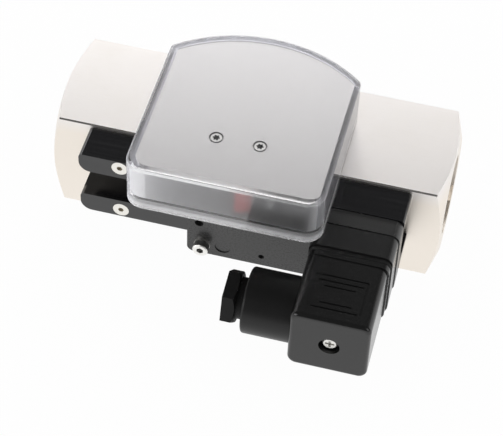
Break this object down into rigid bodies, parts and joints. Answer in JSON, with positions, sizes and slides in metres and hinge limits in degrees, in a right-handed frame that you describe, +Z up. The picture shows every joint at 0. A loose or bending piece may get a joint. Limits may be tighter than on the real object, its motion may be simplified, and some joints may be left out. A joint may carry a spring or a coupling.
{
  "type": "variable area flow meter",
  "caption": "Inline variable area flow meter: square plated body with threaded ports, clear indicator hood, rails with a sliding switch contact, and a square cable plug.",
  "frame": {"origin": "centre of the inlet port at the inlet end face", "axes": "+X along the bore with the flow, +Z up to the indicator hood, -Y towards the rails and the reader"},
  "size_m": [0.15, 0.1096, 0.0652],
  "materials": {
    "nickel": "nickel plated, satin",
    "black_anodised": "black anodised",
    "steel": "bright stainless",
    "clear": "clear moulded",
    "satin_plate": "satin",
    "charcoal_plastic": "moulded, fine grain",
    "black_plastic": "moulded, fine grain",
    "grey_plastic": "moulded",
    "pale_plastic": "moulded, smooth",
    "pale_rubber": "smooth",
    "black_rubber": "smooth",
    "red_paint": "gloss",
    "brass": "turned",
    "magnet": "sintered",
    "switch_glass": "clear"
  },
  "bodies": {
    "base": {"body_block": "nickel", "inlet_spider": "brass", "outlet_spider": "brass", "guide_rod": "steel", "metering_sleeve": "brass", "sleeve_oring": "black_rubber", "retaining_rings": "steel", "return_spring": "steel", "hood": "clear", "hood_seal": "pale_rubber", "indicator_base": "grey_plastic", "base_screws": "steel", "plate_pillars": "steel", "dial_plate": "satin_plate", "dial_screws": "steel", "pivot_shaft": "steel", "pivot_clip": "steel", "pointer_stop": "black_plastic", "upper_rail": "black_anodised", "lower_rail": "black_anodised", "rail_screws": "steel"},
    "float": {"float_body": "brass", "float_bush": "pale_plastic", "float_magnets": "magnet", "float_locknut": "brass"},
    "pointer": {"pointer_hub": "brass", "pointer_arm": "satin_plate", "follower_magnet": "magnet", "pointer_flag": "red_paint"},
    "carriage": {"contact_housing": "charcoal_plastic", "reed_switch": "switch_glass", "clamp_jaw": "charcoal_plastic", "clamp_washer": "steel", "connector_base": "black_plastic", "contact_pins": "brass", "thread_insert": "brass"},
    "clamp": {"clamp_screw": "steel"},
    "plug": {"plug_housing": "black_plastic", "gland_boss": "black_plastic", "plug_gasket": "black_rubber", "plug_insert": "grey_plastic", "terminal_screws": "steel", "gland_washer": "brass", "gland_seal": "black_rubber"},
    "plug_fixing": {"plug_screw": "steel"},
    "gland": {"gland_nut": "black_plastic"}
  },
  "joints": [
    {"name": "float_slide", "type": "slide", "parent": "base", "child": "float", "axis": [1, 0, 0], "range_m": [0, 0.0265], "stiffness_N_per_m": 30, "springref_m": -0.02, "deforming": ["return_spring"]},
    {"name": "pointer_turn", "type": "hinge", "parent": "base", "child": "pointer", "pos_m": [0.0745, -0.0323, 0.03], "axis": [0, 0, 1], "range_deg": [-71, 0]},
    {"name": "carriage_slide", "type": "slide", "parent": "base", "child": "carriage", "axis": [1, 0, 0], "range_m": [-0.028, 0.006]},
    {"name": "clamp_turn", "type": "hinge", "parent": "carriage", "child": "clamp", "pos_m": [0.0636, -0.043, -0.01086], "axis": [0, 1, 0], "continuous": true},
    {"name": "plug_pull", "type": "slide", "parent": "carriage", "child": "plug", "axis": [0, -1, 0], "range_m": [0, 0.03]},
    {"name": "plug_screw_turn", "type": "hinge", "parent": "plug", "child": "plug_fixing", "pos_m": [0.122, -0.084, 0.00557], "axis": [0, 1, 0], "continuous": true},
    {"name": "gland_turn", "type": "hinge", "parent": "plug", "child": "gland", "pos_m": [0.084, -0.0741, 0.00557], "axis": [1, 0, 0], "continuous": true}
  ],
  "couplings": [
    {"joint": "pointer_turn", "follows": "float_slide", "rad_per_m": -45.941}
  ]
}
